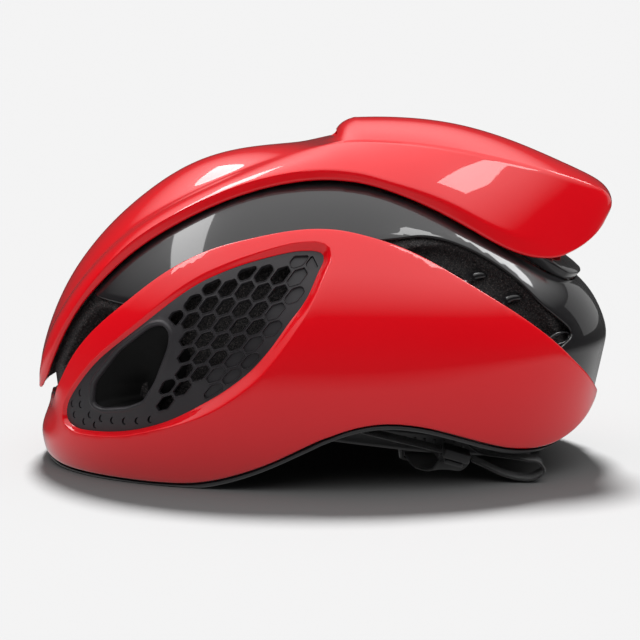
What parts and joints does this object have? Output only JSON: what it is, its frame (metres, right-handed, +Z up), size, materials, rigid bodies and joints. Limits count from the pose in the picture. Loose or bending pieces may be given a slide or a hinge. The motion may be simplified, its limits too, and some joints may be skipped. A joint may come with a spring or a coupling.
{
  "type": "cycling helmet",
  "caption": "Aero road cycling helmet: raised one-piece top shell over a black shell and a lower shell with hex side grilles, foam liner, dial-tightened cradle, straps and buckle.",
  "frame": {"origin": "on the floor under the middle of the helmet's bounding box", "axes": "+Z up, front of the helmet towards -Y, wearer's left towards +X"},
  "size_m": [0.2098, 0.2899, 0.1711],
  "materials": {
    "red_shell": "gloss",
    "black_shell": "gloss",
    "grille": "satin",
    "foam": "moulded foam bead texture",
    "rim": "satin",
    "padding": "knitted cover over soft foam",
    "webbing": "flat woven",
    "fittings": "satin moulded",
    "dial": "soft-touch",
    "rubber": "matte"
  },
  "bodies": {
    "helmet": {"top_shell": "red_shell", "lower_shell": "red_shell", "mid_shell": "black_shell", "tail_base": "black_shell", "base_rim": "rim", "foam_liner": "foam", "grille_left": "grille", "grille_right": "grille", "brow_pad": "padding", "side_pad_left": "padding", "side_pad_right": "padding", "rear_pad_left": "padding", "rear_pad_right": "padding", "crown_pad_front": "padding", "front_strap_left": "webbing", "front_strap_right": "webbing", "rear_strap_left": "webbing", "rear_strap_right": "webbing", "chin_strap_left": "webbing", "chin_strap_right": "webbing", "front_anchor_left": "fittings", "front_anchor_right": "fittings", "rear_anchor_left": "fittings", "rear_anchor_right": "fittings", "strap_divider_left": "fittings", "strap_divider_right": "fittings", "buckle_socket": "fittings", "strap_keeper": "rubber", "height_guide": "fittings", "temple_anchor_left": "fittings", "temple_anchor_right": "fittings"},
    "cradle": {"cradle": "fittings", "cradle_pad": "padding", "dial_housing": "fittings"},
    "dial": {"dial_pinion": "fittings", "dial_knob": "dial"},
    "band_left": {"band_left": "fittings"},
    "band_right": {"band_right": "fittings"},
    "lever_left": {"divider_lever_left": "fittings"},
    "lever_right": {"divider_lever_right": "fittings"},
    "buckle_tongue": {"buckle_tongue": "fittings"}
  },
  "joints": [
    {"name": "cradle_height", "type": "slide", "parent": "helmet", "child": "cradle", "axis": [0, 0, 1], "range_m": [-0.004, 0.012]},
    {"name": "dial_turn", "type": "hinge", "parent": "cradle", "child": "dial", "pos_m": [0, 0.1048, 0.0135], "axis": [0, -1, 0], "range_deg": [0, 204]},
    {"name": "band_left_slide", "type": "slide", "parent": "cradle", "child": "band_left", "axis": [-1, 0, 0], "range_m": [0, 0.015]},
    {"name": "band_right_slide", "type": "slide", "parent": "cradle", "child": "band_right", "axis": [1, 0, 0], "range_m": [0, 0.015]},
    {"name": "lever_left_hinge", "type": "hinge", "parent": "helmet", "child": "lever_left", "pos_m": [0.0698, 0.06511, 0.00798], "axis": [1, 0, 0], "range_deg": [0, 78]},
    {"name": "lever_right_hinge", "type": "hinge", "parent": "helmet", "child": "lever_right", "pos_m": [-0.0698, 0.06511, 0.00798], "axis": [1, 0, 0], "range_deg": [0, 78]},
    {"name": "buckle_slide", "type": "slide", "parent": "helmet", "child": "buckle_tongue", "axis": [0, -1, 0], "range_m": [0, 0.0165]}
  ],
  "couplings": [
    {"joint": "band_left_slide", "follows": "dial_turn", "m_per_rad": 0.0042},
    {"joint": "band_right_slide", "follows": "dial_turn", "m_per_rad": 0.0042}
  ]
}
